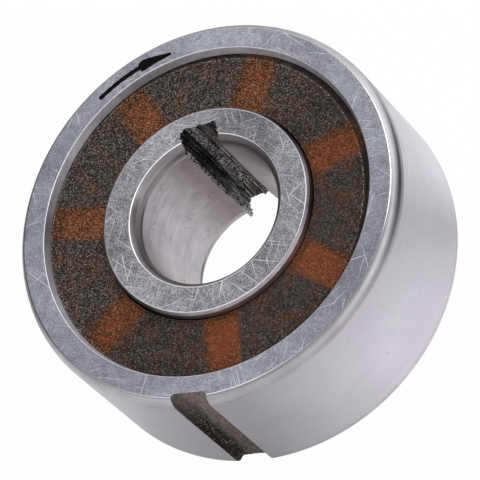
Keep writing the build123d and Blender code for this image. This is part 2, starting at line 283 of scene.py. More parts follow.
# %% Ground cylinder finish
def ground_cylinder(
        name, light, shade, line_height, roughness, depth, cloud_size, lined=0.35, film=None,
        nicked=0.74):
    """Satin steel with grinding lines round the ring and a faint cloudy film.

    line_height, depth and cloud_size are millimetres. lined is the lines' share of the tone,
    and the higher nicked is, the rarer the small dark nicks are."""
    material, tree, shader, place = finish(name, Metallic=1.0)
    lines = add(tree, "MapRange", grain(tree, place, (3, 3, line_height), detail=3), 0.3, 0.7)
    faint = grain(tree, place, (9, 9, line_height * 6), shift=5)
    cloud = add(tree, "MapRange", grain(tree, place, (cloud_size,) * 3, detail=3), 0.3, 0.7)
    cloud = add(tree, "Math MULTIPLY", cloud, 1 - lined)
    tone = add(tree, "Math ADD", add(tree, "Math MULTIPLY", lines, lined), cloud)
    base = add(tree, "Mix RGBA", tone, colour(light), colour(shade))
    nick = grain(tree, place, (0.16, 0.16, 0.3), shift=3)
    nick = add(tree, "MapRange", nick, nicked, nicked + 0.06)
    base = add(tree, "Mix RGBA", add(tree, "Math MULTIPLY", nick, 0.6), base, colour("6E6C72"))
    # film is a table of tones by angle; for several finishes it is painted shade
    if film:
        base = toned_by_angle(tree, base, place, film)
    rough = add(tree, "Math ADD", add(tree, "MapRange", faint, 0.3, 0.7, -0.05, 0.05), roughness)
    feed(shader, Base_Color=base, Roughness=rough)
    emboss(shader, add(tree, "Math SUBTRACT", lines, nick), depth)
    return material


SHOULDER_TONES = {       # the inner ring's shoulder, darker on two sides
    -180: "C0C0C0", -135: "808080", -120: "585656", -105: "B0AEAE", -80: "FFFFFF", -22: "FFFFFF",
    -4: "8A8686", 18: "A09C9C", 34: "504C4C", 50: "3C3A3A", 90: "C0C0C0", 180: "C0C0C0",
}
LIP_TONES = {            # the bore's lip, darkest at the half turn
    -180: "A09C99", -150: "B8B4B2", -60: "D8D4D2", 20: "B0A8A4", 90: "D0C8C4", 120: "F4F0F0",
    160: "FFFFFF", 172: "A09C99", 180: "A09C99",
}
BORE_PAINTED_SHADE = {           # the bore, with painted shade beside the keyway
    -180: "F4F3F7", -160: "FFFFFF", -130: "F2F2F2", 0: "E0E0E0", 60: "D0D0D0", 100: "A49C9A",
    122: "AAA2A1", 140: "E0DCDE", 158: "F6F2F8", 180: "F4F3F7",
}
MOUTH_PAINTED_SHADE = {          # painted shade round the outer ring's mouth
    -180: "9A9A9C", -165: "C8C8CA", -150: "E6E6E8", -120: "C8C8CA", -90: "C4C4C6", -60: "D8D8DA",
    30: "A8A8AA", 60: "F0F0F2", 90: "FFFFFF", 120: "D0D0D2", 150: "FFFFFF", 168: "D0D0D2",
    180: "9A9A9C",
}
outside_steel = ground_cylinder(
    "centreless_ground_steel", "F3EFF7", "E3DEE8", 0.05, 0.38, 0.0006, 5)
rounding_steel = ground_cylinder(
    "tumbled_steel_rounding", "F0EDF2", "D3CED2", 0.08, 0.26, 0.0010, 1.2)
shoulder_steel = ground_cylinder(
    "turned_shoulder_steel", "F6EEF1", "C4BCC0", 0.06, 0.42, 0.0008, 0.8, film=SHOULDER_TONES)
bore_lip_steel = ground_cylinder(
    "turned_bore_lip_steel", "D2CECF", "AAA5A6", 0.06, 0.42, 0.0010, 1.2, film=LIP_TONES)
# the bore's tones by angle are painted shade, darkest beside the keyway
bore_steel = ground_cylinder(
    "internally_ground_steel", "E2DDE0", "C0BBBE", 0.05, 0.36, 0.0016, 0.8, 0.4, BORE_PAINTED_SHADE, 0.69)
mouth_steel = ground_cylinder(
    "turned_steel_mouth", "F7F4F7", "D6D2D6", 0.06, 0.80, 0.0012, 0.5, 0.3, MOUTH_PAINTED_SHADE)
print("cylinders:", outside_steel.name, bore_steel.name, mouth_steel.name)

# %% [markdown]
# ## Bands of tone and handling marks
# A real cylinder isn't even: fingers and fixtures leave a few short fine marks. A darker band near
# the outer ring's rim, on one side only, is painted shade, and the bore's lip gets a band of its
# own tones. Each goes over a finish that is there already, so both helpers take what colours the
# steel so far and lay one more coat over it.

# %% Bands of tone and marks
OUTER_RADIUS, BORE_RADIUS = 11.0, 4.0


def opened(material):
    """A finish to work on again: its tree, shader, place and the colour it has so far."""
    tree = material.node_tree
    shader = tree.nodes["Principled BSDF"]
    own = shader.inputs["Base Color"].links[0].from_socket
    return tree, shader, add(tree, "TexCoord").outputs["Object"], own


def tone_band(material, film, low, high, soft, base_tone=None):
    """Between two heights in millimetres, multiplies the finish, or a given tone in its place, by
    tones by angle.
    """
    tree, shader, place, own = opened(material)
    held = between(tree, add(tree, "SeparateXYZ", place).outputs["Z"], low, high, soft)
    banded = toned_by_angle(tree, colour(base_tone) if base_tone else own, place, film)
    feed(shader, Base_Color=add(tree, "Mix RGBA", held, own, banded))


def handled(material, radius, size, places, marks, tone, share):
    """Fine marks of this size in millimetres, in a few places round a ground cylinder."""
    tree, shader, place, own = opened(material)
    rise = add(tree, "SeparateXYZ", place).outputs["Z"]
    length = add(tree, "Math MULTIPLY", polar(tree, place)[0], radius * MM)
    unrolled = add(tree, "CombineXYZ", length, rise)
    patch = grain(tree, unrolled, (2.4, 2.0, 1), detail=1, shift=14)
    patch = add(tree, "MapRange", patch, places, places + 0.06)
    for heading in (0.5, 1.3):
        line = grain(
            tree, unrolled, (size, size / 14, 1), heading, detail=0, shift=3 + 5 * heading)
        line = add(tree, "Math MULTIPLY", add(tree, "MapRange", line, marks, marks + 0.05), patch)
        own = add(tree, "Mix RGBA", add(tree, "Math MULTIPLY", line, share), own, colour(tone))
    feed(shader, Base_Color=own)


RUN_OUT_PAINTED_SHADE = {        # painted shade: a dark band near the rim, on one side only
    -180: "FFFFFF", -30: "FFFFFF", -8: "D8D8DA", 6: "B0B0B4", 20: "B8B8BA", 34: "DADADC",
    48: "FFFFFF", 180: "FFFFFF",
}
LOW_LIP_TONES = {        # a band in the middle of the bore's lip, on a lighter tone
    -180: "E6E4E2", -160: "CBC9C7", -140: "CAC8C6", -120: "EEECEC", -100: "FFFFFF", -60: "A8A4A0",
    40: "97928E", 80: "97928E", 120: "BEBAB8", 138: "FFFFFF", 165: "FCFAFA", 180: "E6E4E2",
}
handled(outside_steel, OUTER_RADIUS, 0.9, places=0.58, marks=0.77, tone="A6A4AA", share=0.45)
handled(bore_steel, BORE_RADIUS, 0.45, places=0.54, marks=0.72, tone="5E595A", share=0.5)
# painted shade in a band near the rim of the outside and of its rounding
tone_band(outside_steel, RUN_OUT_PAINTED_SHADE, low=8.02, high=8.64, soft=0.06)
tone_band(rounding_steel, RUN_OUT_PAINTED_SHADE, low=7.94, high=8.64, soft=0.06)
tone_band(bore_lip_steel, LOW_LIP_TONES, low=8.33, high=8.76, soft=0.12, base_tone="E8E4E4")
print("marked:", outside_steel.name, bore_steel.name, "- stained:", rounding_steel.name)

# %% [markdown]
# ## Keyways
# The bore's keyway is broached: a toothed bar is pulled through and each tooth ploughs a
# furrow along the whole length, so its walls and floor are a set of rough ridges. The part
# was blackened before, and the ridges keep that black in their valleys. Where the broach
# tore the steel it is bare, and its crumpled skin glints from every side. A nearly white
# tone that is only a little metallic gives that look. The outer keyway is milled. It is
# brown grey and speckled, and dirt sits along one side.

# %% Broached finish
BORE_KEYWAY, OUTER_KEYWAY = 98.8, -90.0     # degrees round the axis


def across_keyway(tree, place, degrees):
    """Coordinates turned with a keyway: outwards, across it, and along the axis."""
    laid = add(tree, "Mapping TEXTURE", place, Rotation=(0, 0, math.radians(degrees)))
    split = add(tree, "SeparateXYZ", laid)
    return laid, split.outputs["X"], split.outputs["Y"], split.outputs["Z"]


broached_steel, tree, shader, place = finish("broached_black_steel", Metallic=0.85)
laid, out, across, rise = across_keyway(tree, place, BORE_KEYWAY)
furrows = grain(tree, laid, (0.10, 0.07, 2.4))
chatter = grain(tree, laid, (0.4, 0.20, 0.055), heading=0.25, detail=1.5, shift=3)
specks = add(tree, "MapRange", grain(tree, laid, (0.07, 0.07, 0.09), shift=5), 0.56, 0.64)
crests = grain(tree, laid, (0.055, 0.055, 1.8), detail=1, shift=12)
crests = add(tree, "MapRange", crests, 0.57, 0.63)
valleys = add(tree, "MapRange", furrows, 0.45, 0.60)
base = add(tree, "Mix RGBA", valleys, colour("040303"), colour("544A44"))
front = add(tree, "MapRange", rise, 6.5 * MM, 8.3 * MM, 0.75, 0.15)
crests = add(tree, "Math MULTIPLY", crests, front)
base = add(tree, "Mix RGBA", crests, base, colour("C8C2BF"))
# one wall is black, and bare at its foot
wall = add(tree, "MapRange", across, 0.82 * MM, 0.92 * MM)
wall = add(tree, "Math MULTIPLY", wall, add(tree, "MapRange", rise, 1.2 * MM, 3.6 * MM, 0.2, 0.9))
base = add(tree, "Mix RGBA", wall, base, colour("080706"))
foot = add(tree, "MapRange", across, 0.80 * MM, 0.90 * MM)
foot = add(tree, "Math MULTIPLY", foot, add(tree, "MapRange", rise, 3.6 * MM, 1.6 * MM))
bright = grain(tree, laid, (0.05, 0.05, 1.0), detail=1, shift=15)
bright = add(tree, "Math MULTIPLY", foot, add(tree, "MapRange", bright, 0.53, 0.58))
base = add(tree, "Mix RGBA", bright, base, colour("FFFFFF"))
# the floor beside that wall is torn
torn = together(
    tree, "MULTIPLY", between(tree, across, 0.15, 0.88, 0.15),
    add(tree, "MapRange", out, 4.6 * MM, 4.8 * MM),
    add(tree, "MapRange", rise, 1.2 * MM, 2.2 * MM))
base = add(tree, "Mix RGBA", add(tree, "Math MULTIPLY", torn, 0.6), base, colour("1C1A1A"))
torn = add(tree, "Math MULTIPLY", torn, add(tree, "MapRange", chatter, 0.51, 0.57))
base = add(tree, "Mix RGBA", torn, base, colour("FCFAFF"))
base = add(tree, "Mix RGBA", add(tree, "Math MULTIPLY", specks, 0.45), base, colour("BDBBBE"))
nicks = add(tree, "MapRange", out, 4.14 * MM, 4.06 * MM)
nicks = add(tree, "Math MULTIPLY", nicks, add(tree, "MapRange", chatter, 0.52, 0.56))
base = add(tree, "Mix RGBA", nicks, base, colour("F0EEF0"))
torn = together(tree, "MAXIMUM", nicks, bright, torn)
feed(
    shader, Base_Color=base, Metallic=add(tree, "MapRange", torn, 0, 1, 0.85, 0.15),
    Roughness=add(tree, "MapRange", furrows, 0.4, 0.6, 0.6, 0.4))
emboss(shader, add(tree, "Math ADD", furrows, add(tree, "Math MULTIPLY", torn, 0.6)), 0.02)
print("bore keyway:", broached_steel.name)

# %% Milled finish, and torn steel
milled_steel, tree, shader, place = finish("milled_brown_grey_steel", Metallic=0.85)
laid, out, across, rise = across_keyway(tree, place, OUTER_KEYWAY)
cuts = grain(tree, laid, (0.12, 0.12, 0.25), detail=3)
patches = grain(tree, laid, (0.5, 0.5, 0.9), detail=3)
specks = add(tree, "MapRange", grain(tree, laid, (0.08,) * 3, shift=5), 0.58, 0.62)
tone = add(tree, "MapRange", cuts, 0.35, 0.65)
base = add(tree, "Mix RGBA", tone, colour("857A77"), colour("B3A6A0"))
low_down = add(tree, "MapRange", rise, 7 * MM, 2 * MM, 0.0, 0.40)
base = add(tree, "Mix RGBA", low_down, base, colour("4C4440"))
wander = add(tree, "Math MULTIPLY", add(tree, "Math SUBTRACT", patches, 0.5), 1.2 * MM)
dirt = add(tree, "MapRange", add(tree, "Math ADD", across, wander), -0.25 * MM, -0.75 * MM)
dirt = add(tree, "Math MULTIPLY", dirt, add(tree, "MapRange", rise, 8.6 * MM, 5 * MM, 0.35, 1.0))
base = add(tree, "Mix RGBA", add(tree, "Math MULTIPLY", dirt, 0.85), base, colour("17130F"))
shown = add(tree, "Math MULTIPLY", specks, add(tree, "MapRange", dirt, 0, 1, 0.12, 1.0))
base = add(tree, "Mix RGBA", shown, base, colour("C9C2B6"))
feed(shader, Base_Color=base, Roughness=add(tree, "MapRange", cuts, 0.35, 0.65, 0.66, 0.56))
emboss(shader, add(tree, "Math ADD", cuts, specks), 0.012)

torn_steel, tree, shader, place = finish("torn_bright_steel", Metallic=0.9)
crumbs = grain(tree, place, (0.06,) * 3)
tone = add(tree, "MapRange", crumbs, 0.4, 0.6)
base = add(tree, "Mix RGBA", tone, colour("C4C2C6"), colour("FFFFFF"))
feed(shader, Base_Color=base, Roughness=add(tree, "MapRange", crumbs, 0.3, 0.7, 0.4, 0.2))
emboss(shader, crumbs, 0.015)
print("outer keyway:", milled_steel.name, "and burr:", torn_steel.name)

# %% [markdown]
# ## Edges and the mark
# An edge broken with a fine stone shines more than the ground steel on either side, so it is
# nearly white and smoother. Again a table of tones by angle darkens it in some places, and that is
# painted shade. The arrow's floor is etched and blackened: a matt coat, not a metal, so it stays
# dark from every side.

# %% Bright edges and the black mark
# painted shade on the bright edges, set by angle
EDGE_PAINTED_SHADE = {
    -180: "BCBCC0", -165: "D0D0D2", -150: "F0F0F2", -140: "FFFFFF", -60: "FFFFFF", -30: "C4C4C8",
    0: "A8A8AC", 40: "B4B4B8", 70: "FFFFFF", 130: "F8F8FA", 160: "F0F0F2", 170: "DCDCDE",
    180: "BCBCC0",
}
OUTER_EDGE_PAINTED_SHADE = {
    -180: "646468", -150: "707074", -135: "9C9CA0", -118: "D4D4D8", -100: "FFFFFF", -72: "FFFFFF",
    -58: "C4C4C8", -45: "8E8E92", -15: "808084", 0: "D8D8DC", 15: "F4F4F6", 28: "FFFFFF",
    80: "FFFFFF", 110: "D8D8DC", 150: "90909A", 180: "646468",
}
edge_steel, outer_edge_steel = (
    ground_cylinder(name, "FFFFFF", "E6E5E9", 0.05, 0.27, 0.0008, 0.3, 0.3, film)
    for name, film in (("stoned_bright_edge", EDGE_PAINTED_SHADE), ("stoned_outer_edge", OUTER_EDGE_PAINTED_SHADE)))
print("edges:", edge_steel.name, outer_edge_steel.name)

arrow_black, tree, shader, place = finish(
    "etched_black_mark", Roughness=0.7, Specular_IOR_Level=0.1)
etched = grain(tree, place, (0.05,) * 3, detail=3)
tone = add(tree, "MapRange", etched, 0.3, 0.8)
feed(shader, Base_Color=add(tree, "Mix RGBA", tone, colour("010102"), colour("0C0B0C")))
emboss(shader, etched, 0.004)
print("mark:", arrow_black.name)

# %% [markdown]
# ## The shields
# Each shield is a thin disc of smoky film with fine grit in it. Dark grease lies under it,
# and the orange cage shows through as soft orange bars. The shader is a mix: part of it lets
# the view straight through, and the rest is a grainy dark coat. The grit is a cell pattern
# with a random tone for every cell, about a twentieth of a millimetre across. The bars are
# tinted by the cage's own coordinates, so they go round with it when it turns.

# %% Where the cage's pillars stand
PILLARS = 7
FIRST_PILLAR = math.radians(177.8)
PITCH = 2 * math.pi / PILLARS
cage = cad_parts["cage"]


def across_pillar(tree, place):
    """Distance in metres from the middle line of the nearest cage pillar."""
    angle, radius = polar(tree, place)
    pitches = add(tree, "Math DIVIDE", add(tree, "Math SUBTRACT", angle, FIRST_PILLAR), PITCH)
    off = add(tree, "Math SUBTRACT", pitches, add(tree, "Math ROUND", pitches))
    arm = add(tree, "Math MULTIPLY", add(tree, "Math ABSOLUTE", off), PITCH)
    return add(tree, "Math MULTIPLY", arm, radius)


print("a pillar stands every", round(math.degrees(PITCH), 1), "degrees")

# %% Shield finish
GRIT = 0.047                    # millimetres from grain to grain
WIPED = math.radians(-40)       # the film was wiped on this side, so its grit is fainter
CLEAN_RIM = math.radians(-75)   # no light flecks show at the film's rim on this side
RIM_SHIFT = (0.17 * MM, 0.05 * MM, 0)   # the painted shadow at the rim is wider on this side
RIM_PAINTED_SHADOW, BEAD = (9.08, 9.22), (9.04, 9.11)    # radii in millimetres of the painted shadow at the rim and of the light flecks, before that shift
AMBER_REACH = (1.25, 0.75)      # the amber fades in between these distances from a pillar
SHIELD_CLEAR, EDGE_CLEAR = 0.50, 0.15   # share of the view that goes through


def away_from(tree, place, side):
    """Angle from one side of the ring, in radians, the same both ways round."""
    return add(tree, "Math ABSOLUTE", add(tree, "Math SUBTRACT", polar(tree, place)[0], side))


def gritty_film(name, clear, greys, ambers, roughness):
    """Smoky film with grit, tinted amber where a pillar of the cage stands behind it."""
    material, tree, shader, place = finish(
        name, Roughness=roughness, IOR=1.5, Specular_IOR_Level=0.25)
    by_cage = add(tree, "TexCoord", object=cage).outputs["Object"]
    wander = add(tree, "Math SUBTRACT", grain(tree, place, (0.5,) * 3, detail=3), 0.5)
    wander = add(tree, "Math MULTIPLY", wander, 0.9 * MM)
    across = add(tree, "Math ADD", across_pillar(tree, by_cage), wander)
    amber = add(tree, "MapRange", across, *(distance * MM for distance in AMBER_REACH))
    # every grain has its own tone: darker or lighter by luck, and fainter where it was wiped
    laid = add(tree, "Mapping TEXTURE", place, Scale=(GRIT * MM,) * 3)
    cells = add(tree, "TexVoronoi", laid, 1.0)
    toss = add(tree, "SeparateColor", cells.outputs["Color"])
    aside = away_from(tree, place, WIPED)
    by_rim = add(tree, "MapRange", polar(tree, place)[1], 8.0 * MM, 8.8 * MM, 0.0, 0.7)
    kept = add(tree, "Math MAXIMUM", add(tree, "MapRange", aside, 0.7, 1.3), by_rim)
    strength = add(
        tree, "Math ADD", add(tree, "MapRange", kept, 0, 1, 0.70, 1.05),
        add(tree, "MapRange", aside, 1.4, 2.0, 0.0, 0.42))
    luck = add(tree, "Math MULTIPLY", add(tree, "Math SUBTRACT", toss, 0.5), strength)
    luck = add(tree, "Math ADD", luck, add(tree, "MapRange", kept, 0, 1, 0.58, 0.46))
    rust = grain(tree, by_cage, (1.1,) * 3, detail=3, shift=4)
    rust = add(tree, "MapRange", rust, 0.45, 0.70, 0.0, 0.45)
    tone = add(
        tree, "Mix RGBA", add(tree, "Math MAXIMUM", amber, rust),
        add(tree, "ValToRGB", luck, stops=greys), add(tree, "ValToRGB", luck, stops=ambers))
    # painted shadow at the rim, and a broken line of light flecks just inside it
    shifted = polar(tree, add(tree, "VectorMath ADD", place, RIM_SHIFT))[1]
    rim = add(tree, "MapRange", shifted, RIM_PAINTED_SHADOW[0] * MM, RIM_PAINTED_SHADOW[1] * MM, 0.0, 0.9)
    rim = add(tree, "Math MULTIPLY", rim, add(tree, "MapRange", amber, 0, 1, 1.0, 0.55))
    tone = add(tree, "Mix RGBA", rim, tone, colour("100C0A"))
    broken = add(tree, "MapRange", grain(tree, place, (0.12,) * 3, shift=8), 0.50, 0.58)
    bead = together(
        tree, "MULTIPLY", between(tree, shifted, *BEAD, 0.02), broken,
        add(tree, "MapRange", away_from(tree, place, CLEAN_RIM), 0.7, 1.1))
    feed(shader, Base_Color=add(tree, "Mix RGBA", bead, tone, colour("CDB9A8")))
    # the view goes through the lighter grains most, and always on its way out of the film
    opening = add(tree, "Math MULTIPLY", add(tree, "MapRange", luck, 0.0, 0.4, 0.2, 1.0), clear)
    leaving = add(tree, "NewGeometry").outputs["Backfacing"]
    opening = add(tree, "Math MAXIMUM", opening, leaving)
    glass = add(tree, "BsdfTransparent", colour("F4EFE6"))
    feed(tree.nodes["Material Output"], Surface=add(tree, "MixShader", opening, shader, glass))
    emboss(shader, add(tree, "Math ADD", toss.outputs[2], cells.outputs["Distance"]), 0.010)
    return material


GREY_GRIT = {0.0: "020202", 0.2: "14100E", 0.5: "423A36", 0.8: "6A615B", 1.0: "ACA29B"}
AMBER_GRIT = {0.0: "0A0301", 0.2: "3E1C0C", 0.5: "74401F", 0.8: "9A5A34", 1.0: "CC946C"}
COPPER_GRIT = {0.0: "5A3522", 0.6: "9A6A4A", 1.0: "D9B79A"}
shield_film = gritty_film("smoky_gritty_film", SHIELD_CLEAR, GREY_GRIT, AMBER_GRIT, 0.45)
shield_edge = gritty_film("film_cut_edge", EDGE_CLEAR, COPPER_GRIT, COPPER_GRIT, 0.35)
print("shield lets through", SHIELD_CLEAR)

# %% [markdown]
# ## Inside the clutch
# Behind the film stands the cage, moulded in an orange-brown nylon. The sprags are phosphated, a
# soft dark grey that holds oil, the springs are blued spring steel, and the balls are polished
# chrome steel under a film of dark grease, painted darker still as shade. Deep inside the clutch
# the nylon is darkened by grease and by painted shade, and grease has crept along the sides of the
# cage's pillars.

# %% Cage finish
WIDTH = 9.0             # of the whole clutch; one face lies at 0, the other at 9
MIDDLE = WIDTH / 2

cage_resin, tree, shader, place = finish("moulded_orange_nylon", Roughness=0.45, IOR=1.53)
flow = grain(tree, place, (0.9, 0.9, 2.5), detail=3)
fibre = grain(tree, place, (0.5, 0.08, 0.08), heading=0.6)
rise = add(tree, "SeparateXYZ", place).outputs["Z"]
tone = add(tree, "MapRange", flow, 0.3, 0.7)
base = add(tree, "Mix RGBA", tone, colour("B8562F"), colour("8E4020"))
tone = add(tree, "MapRange", fibre, 0.55, 0.75, 0, 0.4)
base = add(tree, "Mix RGBA", tone, base, colour("CC7C54"))
# grease and painted shade: the nylon darkens deep inside the clutch
from_middle = add(tree, "Math ABSOLUTE", add(tree, "Math SUBTRACT", rise, MIDDLE * MM))
deep = add(tree, "MapRange", from_middle, 3.52 * MM, 3.05 * MM, 0.0, 0.85)
base = add(tree, "Mix RGBA", deep, base, colour("2A1A12"))
side = add(tree, "MapRange", across_pillar(tree, place), 0.62 * MM, 1.02 * MM, 0.0, 0.6)
side = add(tree, "Math MULTIPLY", side, add(tree, "MapRange", rise, 6 * MM, 7 * MM))
base = add(tree, "Mix RGBA", side, base, colour("3A2216"))
feed(shader, Base_Color=base)
emboss(shader, add(tree, "Math ADD", flow, fibre), 0.004)
print("cage:", cage_resin.name)


# %% Finishes of the moving steel pieces
def dark_steel(name, light, dark, size, roughness, metallic, depth):
    """Steel under oil or a chemical coat: two close tones and a fine grain."""
    material, tree, shader, place = finish(name, Metallic=metallic)
    cloud = grain(tree, place, (size * 6,) * 3, detail=3)
    fine = grain(tree, place, (size,) * 3, detail=3, shift=2)
    tone = add(tree, "Math MULTIPLY", add(tree, "Math ADD", cloud, fine), 0.5)
    tone = add(tree, "MapRange", tone, 0.35, 0.65)
    base = add(tree, "Mix RGBA", tone, colour(light), colour(dark))
    rough = add(tree, "MapRange", cloud, 0.3, 0.7, roughness - 0.06, roughness + 0.06)
    feed(shader, Base_Color=base, Roughness=rough)
    emboss(shader, fine, depth)
    return material


sprag_steel = dark_steel("phosphated_sprag_steel", "3E3D3B", "262523", 0.06, 0.55, 0.6, 0.003)
# the balls' dark tone is grease and painted shade
ball_steel = dark_steel("greased_shaded_chrome_steel", "4C4A46", "2E2C29", 0.10, 0.28, 0.9, 0.0006)
spring_steel = dark_steel("blued_spring_steel", "3B3F49", "24262E", 0.05, 0.35, 0.9, 0.001)
track_steel = dark_steel("greased_track_steel", "45403C", "1E1B19", 0.08, 0.42, 0.6, 0.0006)
print("moving pieces:", sprag_steel.name, ball_steel.name, spring_steel.name)

# %% [markdown]
# ## Turning a ring
# A ring is a closed outline spun round the axis. In place of a modifier, a short function
# writes the outline's points at many angles and joins them, so that each stretch of the
# outline can carry its own finish. Real edges are never sharp: a small break on each corner
# gives the thin bright line that makes a ring look like steel.

# %% Outline and lathe
COLUMNS = 720
BREAK_STEPS = 4
CRISP = 0.038           # break on an edge that looks sharp
RIM_FROM = 10.0         # edges further out than this are the outer ring's rim


def placed(name, data):
    """A new object in the scene."""
    made = bpy.data.objects.new(name, data)
    bpy.context.scene.collection.objects.link(made)
    return made


def solid(name, vertices, faces, *finishes):
    """A new object with this mesh and these finishes."""
    mesh = bpy.data.meshes.new(name)
    mesh.from_pydata(vertices, [], faces)
    for material in finishes:
        mesh.materials.append(material)
    return placed(name, mesh)


def corner_break(before, corner, after, size):
    """Points of a small rounding in place of a corner, with a close point on either side."""
    back = (before - corner).normalized()
    on = (after - corner).normalized()
    points = [corner + back * size * 1.5]
    for step in range(BREAK_STEPS + 1):
        t = step / BREAK_STEPS
        points.append(corner + back * size * (1 - t) ** 2 + on * size * t ** 2)
    points.append(corner + on * size * 1.5)
    return points


def softened(corners):
    """Outline points with a finish for each stretch, from (radius, height, break, finish)."""
    points = []
    count = len(corners)
    for i, (radius, height, size, zone) in enumerate(corners):
        corner = Vector((radius, height))
        before = Vector(corners[i - 1][:2])
        after = Vector(corners[(i + 1) % count][:2])
        made = corner_break(before, corner, after, size) if size else [corner]
        stoned = outer_edge_steel if radius > RIM_FROM else edge_steel
        edge = stoned if size >= CRISP else zone
        zones = [corners[i - 1][3]] + [edge] * BREAK_STEPS + [zone] * 2 if size else [zone]
        points += [(p.x, p.y, finish_here) for p, finish_here in zip(made, zones)]
    return points


def arc(centre, radius, start, end, steps, zone):
    """Corners along a circular arc; angles in degrees from the radial direction."""
    made = []
    for step in range(steps + 1):
        a = math.radians(start + (end - start) * step / steps)
        made.append((centre[0] + radius * math.cos(a), centre[1] + radius * math.sin(a), 0, zone))
    return made


def lathe(name, corners, columns=COLUMNS):
    """A ring mesh from a closed outline in millimetres."""
    outline = softened(corners)
    finishes = list(dict.fromkeys(zone for _, _, zone in outline))
    rows = len(outline)
    vertices, faces = [], []
    for column in range(columns):
        turn = 2 * math.pi * column / columns
        here, there = column * rows, (column + 1) % columns * rows
        for row, (radius, height, _) in enumerate(outline):
            vertices.append((radius * math.cos(turn), radius * math.sin(turn), height))
            up = (row + 1) % rows
            faces.append((here + row, there + row, there + up, here + up))
    ring = solid(name, vertices, faces, *finishes)
    slots = [finishes.index(zone) for _, _, zone in outline]
    ring.data.polygons.foreach_set("material_index", slots * columns)
    return ring


def mirrored(upper, joining):
    """The upper half of an outline and its mirror image; joining finishes the last stretch."""
    lower = []
    for i in range(len(upper) - 1, -1, -1):
        radius, height, size, _ = upper[i]
        lower.append((radius, WIDTH - height, size, upper[i - 1][3] if i else joining))
    return upper + lower


print("lathe ready:", COLUMNS, "columns")

# %% [markdown]
# ## The outer ring
# Its outside has a generous rounding at each end that runs smoothly into the cylinder and
# meets the face at a crisp line. The mouth tapers down to a lip that holds the shield, and
# the track with its ball groove lies behind. Each corner below is a radius, a height, the
# size of its break, and the finish of the stretch that follows it. Only the upper half is
# written, because the lower one is its mirror image.

# %% Outer ring outline
ROUNDING_STEPS, GROOVE_STEPS = 14, 8
GROOVE_RADIUS, GROOVE_HALF_WIDTH = 1.857, 1.0137
groove_edge = math.degrees(math.asin(GROOVE_HALF_WIDTH / GROOVE_RADIUS))

outer_upper = [
    (OUTER_RADIUS, 8.20, 0, outside_steel),
    *arc((OUTER_RADIUS - 0.9786, 8.25), 0.9786, 0, 48.5, ROUNDING_STEPS, rounding_steel),
    (10.65, WIDTH, CRISP, outer_face_steel),
    (9.45, WIDTH, CRISP, mouth_steel),
    (9.30, 8.49, 0.01, mouth_steel),
    (9.36, 8.49, 0, mouth_steel),
    (9.36, 8.18, 0, track_steel),
    (9.00, 8.18, 0.02, track_steel),
    *arc((7.444, MIDDLE), GROOVE_RADIUS, groove_edge, 2, GROOVE_STEPS, track_steel),
]
outer_ring = lathe("outer_ring_ground", mirrored(outer_upper, outside_steel))
print("outer ring:", len(outer_ring.data.polygons), "faces")

# %% [markdown]
# ## The inner ring
# The bore runs out in a rounding at each end, the face is narrow, and a small shoulder leads
# down to the track that the sprags grip.

# %% Inner ring outline
inner_upper = [
    *arc((7.556, MIDDLE), GROOVE_RADIUS, 178, 180 - groove_edge, GROOVE_STEPS, track_steel),
    (6.00, 8.42, 0, shoulder_steel),
    (6.00, 8.84, 0.02, shoulder_steel),
    (5.86, WIDTH, CRISP, inner_face_steel),
    (4.40, WIDTH, CRISP, bore_lip_steel),
    *arc((BORE_RADIUS + 0.9605, 8.22), 0.9605, 127.5, 180, ROUNDING_STEPS, bore_lip_steel),
    (BORE_RADIUS, 8.18, 0, bore_steel),
]
inner_ring = lathe("inner_ring_ground", mirrored(inner_upper, track_steel))
print("inner ring:", len(inner_ring.data.polygons), "faces")

# %% [markdown]
# ## Cutting the keyways
# Each keyway is cut with a bar whose skin is already rough: its section carries the furrows,
# they wander a little along the length, and close to the two faces the skin is torn deeper.
# The cut takes the bar's own finish with it, so the keyway is dark where the ring is bright.

# %% Keyway bars
KEYWAY_WIDTH, CORNER, CORNER_STEPS = 2.0, 0.22, 6
OVERRUN = 0.5           # how far a bar stands out beyond each face of its ring
STATION = 0.09          # spacing of the sections along the bar
SAMPLE = 0.045          # spacing of the points round a section
END_REACH = 0.22        # how far in from a face the metal is torn
RIM_REACH = 0.20        # and how far from the long edges
FINE, TEAR = (0.09, 0.16), (0.14, 0.2)      # size of the skin's grain, across and along
DRIFT = 0.10            # how fast the furrows wander along the bar


def keyway_path(floor, mouth):
    """Points (radial, across) of the section, each with the direction into the steel."""
    outward = 1 if floor > mouth else -1
    half = KEYWAY_WIDTH / 2
    wall_end = floor - outward * CORNER
    wall_steps = round(abs(wall_end - mouth) / SAMPLE)
    points = []
    for i in range(wall_steps):
        points.append(((mouth + (wall_end - mouth) * i / wall_steps, -half), (0, -1)))
    for i in range(CORNER_STEPS + 1):
        a = math.radians(90 * i / CORNER_STEPS)
        across, deep = -math.cos(a), math.sin(a)
        corner = (wall_end + outward * CORNER * deep, -half + CORNER + CORNER * across)
        points.append((corner, (outward * deep, across)))
    left = [((radial, -across), (n[0], -n[1])) for (radial, across), n in points]
    floor_steps = round((KEYWAY_WIDTH - 2 * CORNER) / SAMPLE)
    for i in range(1, floor_steps):
        points.append(((floor, -half + CORNER + i * SAMPLE), (outward, 0)))
    return points + left[::-1]


